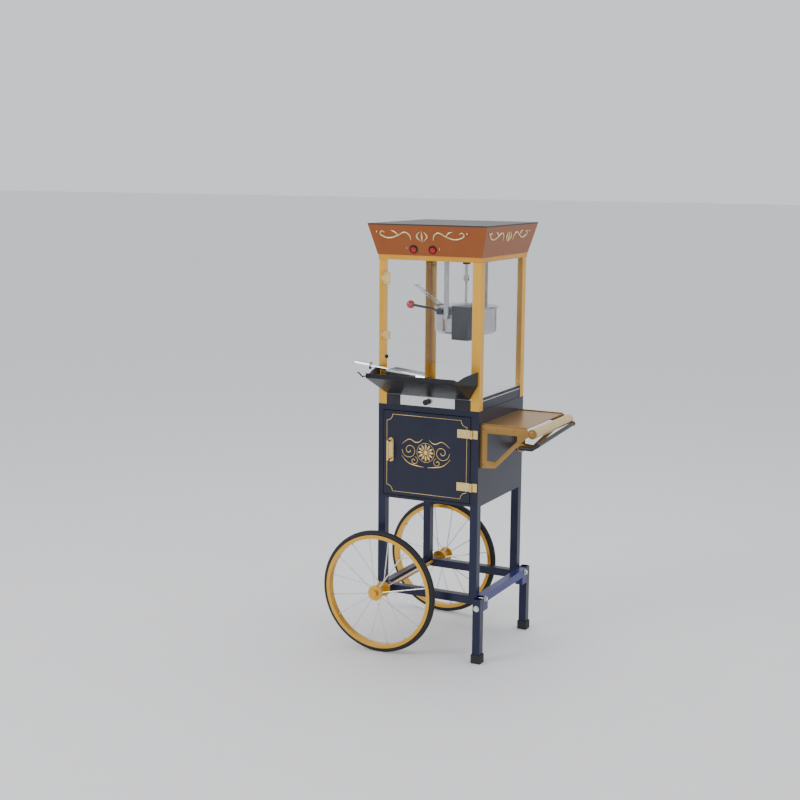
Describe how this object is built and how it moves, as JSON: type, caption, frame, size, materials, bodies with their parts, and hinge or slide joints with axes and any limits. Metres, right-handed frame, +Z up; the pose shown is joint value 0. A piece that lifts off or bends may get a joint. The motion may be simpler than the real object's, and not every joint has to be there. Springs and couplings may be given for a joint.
{
  "type": "popcorn cart",
  "caption": "Wheeled popcorn cart with a tilting kettle in a glazed machine, storage cabinet, serving tray and side shelf.",
  "frame": {"origin": "on the floor under the middle of the whole outline", "axes": "+Z up, -Y towards the serving side, +X towards the side shelf"},
  "size_m": [0.6955, 0.64, 1.346],
  "materials": {
    "cabinet_blue": "semi-gloss",
    "frame_navy": "semi-gloss",
    "rail_blue": "gloss",
    "bolt_steel": "zinc plated",
    "foot_rubber": "matte",
    "wheel_tyre": "matte",
    "wheel_gold": "metallic gloss",
    "spoke_steel": "polished",
    "shelf_bronze": "metallic satin",
    "grip_gold": "polished",
    "rod_black": "gloss",
    "gold_fittings": "polished",
    "dark_plastic": "fine grain",
    "base_navy": "satin",
    "bright_steel": "brushed",
    "post_gold": "metallic satin",
    "clear_pane": "clear",
    "canopy_copper": "metallic gloss",
    "trim_gold": "metallic gloss",
    "cover_dark": "satin",
    "motor_grey": "satin",
    "lamp_white": "frosted",
    "switch_black": "gloss",
    "rocker_red": "gloss",
    "tray_black": "satin",
    "kettle_steel": "polished",
    "ball_red": "gloss"
  },
  "bodies": {
    "cart": {"cabinet_sides": "cabinet_blue", "cabinet_back": "cabinet_blue", "cabinet_floor": "cabinet_blue", "cabinet_top": "cabinet_blue", "cabinet_front": "cabinet_blue", "main_legs": "frame_navy", "lower_rails": "frame_navy", "right_rail": "rail_blue", "lower_legs": "frame_navy", "frame_bolts": "bolt_steel", "rubber_feet": "foot_rubber", "axle": "wheel_gold", "shelf_plate": "shelf_bronze", "shelf_brackets": "shelf_bronze", "shelf_grip": "grip_gold", "push_rod": "rod_black", "cabinet_hinges": "gold_fittings", "door_catch": "dark_plastic"},
    "front_wheel": {"front_tyre": "wheel_tyre", "front_rim": "wheel_gold", "front_spokes": "spoke_steel", "front_hub": "wheel_gold"},
    "rear_wheel": {"rear_tyre": "wheel_tyre", "rear_rim": "wheel_gold", "rear_spokes": "spoke_steel", "rear_hub": "wheel_gold"},
    "storage": {"storage_door": "cabinet_blue", "storage_pull": "gold_fittings", "storage_leaves": "gold_fittings"},
    "machine": {"base_pan": "base_navy", "base_fascia": "dark_plastic", "deck_plate": "bright_steel", "corner_posts": "post_gold", "windows": "clear_pane", "canopy_shell": "canopy_copper", "canopy_trim": "trim_gold", "canopy_top": "cover_dark", "ceiling_plate": "bright_steel", "hanger_straps": "bright_steel", "drive_motor": "motor_grey", "lamp": "lamp_white", "switch_bezels": "switch_black", "power_inlet": "dark_plastic"},
    "pane": {"front_pane": "clear_pane", "pane_clips": "gold_fittings"},
    "drawer": {"kernel_drawer": "bright_steel", "drawer_knob": "dark_plastic"},
    "tray": {"serving_tray": "tray_black"},
    "scoop": {"scoop": "bright_steel"},
    "kettle": {"kettle_pot": "kettle_steel", "kettle_fittings": "kettle_steel", "terminal_box": "switch_black", "tilt_rod": "rod_black", "tilt_ball": "ball_red"},
    "lid_left": {"left_lid": "kettle_steel"},
    "lid_right": {"right_lid": "kettle_steel"},
    "drive": {"drive_shaft": "bright_steel"},
    "stirrer": {"stirrer": "bright_steel"},
    "switch_left": {"left_rocker": "rocker_red"},
    "switch_right": {"right_rocker": "rocker_red"}
  },
  "joints": [
    {"name": "machine_lift", "type": "slide", "parent": "cart", "child": "machine", "axis": [0, 0, 1], "range_m": [0, 0.1]},
    {"name": "front_wheel_spin", "type": "hinge", "parent": "cart", "child": "front_wheel", "pos_m": [-0.15175, -0.195, 0.196], "axis": [0, 1, 0], "continuous": true},
    {"name": "rear_wheel_spin", "type": "hinge", "parent": "cart", "child": "rear_wheel", "pos_m": [-0.15175, 0.283, 0.196], "axis": [0, 1, 0], "continuous": true},
    {"name": "storage_door_swing", "type": "hinge", "parent": "cart", "child": "storage", "pos_m": [0.13375, -0.138, 0.632], "axis": [0, 0, 1], "range_deg": [0, 120]},
    {"name": "front_pane_swing", "type": "hinge", "parent": "machine", "child": "pane", "pos_m": [-0.17525, -0.138, 1.06], "axis": [0, 0, -1], "range_deg": [0, 88]},
    {"name": "drawer_slide", "type": "slide", "parent": "machine", "child": "drawer", "axis": [0, -1, 0], "range_m": [0, 0.25]},
    {"name": "tray_lift", "type": "slide", "parent": "machine", "child": "tray", "axis": [0, 0, 1], "range_m": [0, 0.008]},
    {"name": "scoop_slide", "type": "slide", "parent": "tray", "child": "scoop", "axis": [-0.9848, 0, 0.1736], "range_m": [0, 0.05]},
    {"name": "kettle_tilt", "type": "hinge", "parent": "machine", "child": "kettle", "pos_m": [0.02775, 0.044, 1.06], "axis": [0.1736, 0.9848, 0], "range_deg": [0, 80]},
    {"name": "left_lid_swing", "type": "hinge", "parent": "kettle", "child": "lid_left", "pos_m": [0.0179, 0.04574, 1.09], "axis": [0.1736, 0.9848, 0], "range_deg": [0, 25]},
    {"name": "right_lid_swing", "type": "hinge", "parent": "kettle", "child": "lid_right", "pos_m": [0.0376, 0.04226, 1.09], "axis": [-0.1736, -0.9848, 0], "range_deg": [0, 42]},
    {"name": "drive_spin", "type": "hinge", "parent": "machine", "child": "drive", "pos_m": [0.02775, 0.044, 1.2], "axis": [0, 0, 1], "continuous": true},
    {"name": "stirrer_spin", "type": "hinge", "parent": "kettle", "child": "stirrer", "pos_m": [0.02775, 0.044, 1.08], "axis": [0, 0, 1], "continuous": true},
    {"name": "left_switch_rock", "type": "hinge", "parent": "machine", "child": "switch_left", "pos_m": [-0.06525, -0.14072, 1.27049], "axis": [-1, 0, 0], "range_deg": [0, 16]},
    {"name": "right_switch_rock", "type": "hinge", "parent": "machine", "child": "switch_right", "pos_m": [-0.00125, -0.14072, 1.27049], "axis": [-1, 0, 0], "range_deg": [0, 16]}
  ],
  "couplings": [
    {"joint": "drive_spin", "follows": "stirrer_spin", "ratio": 1}
  ]
}
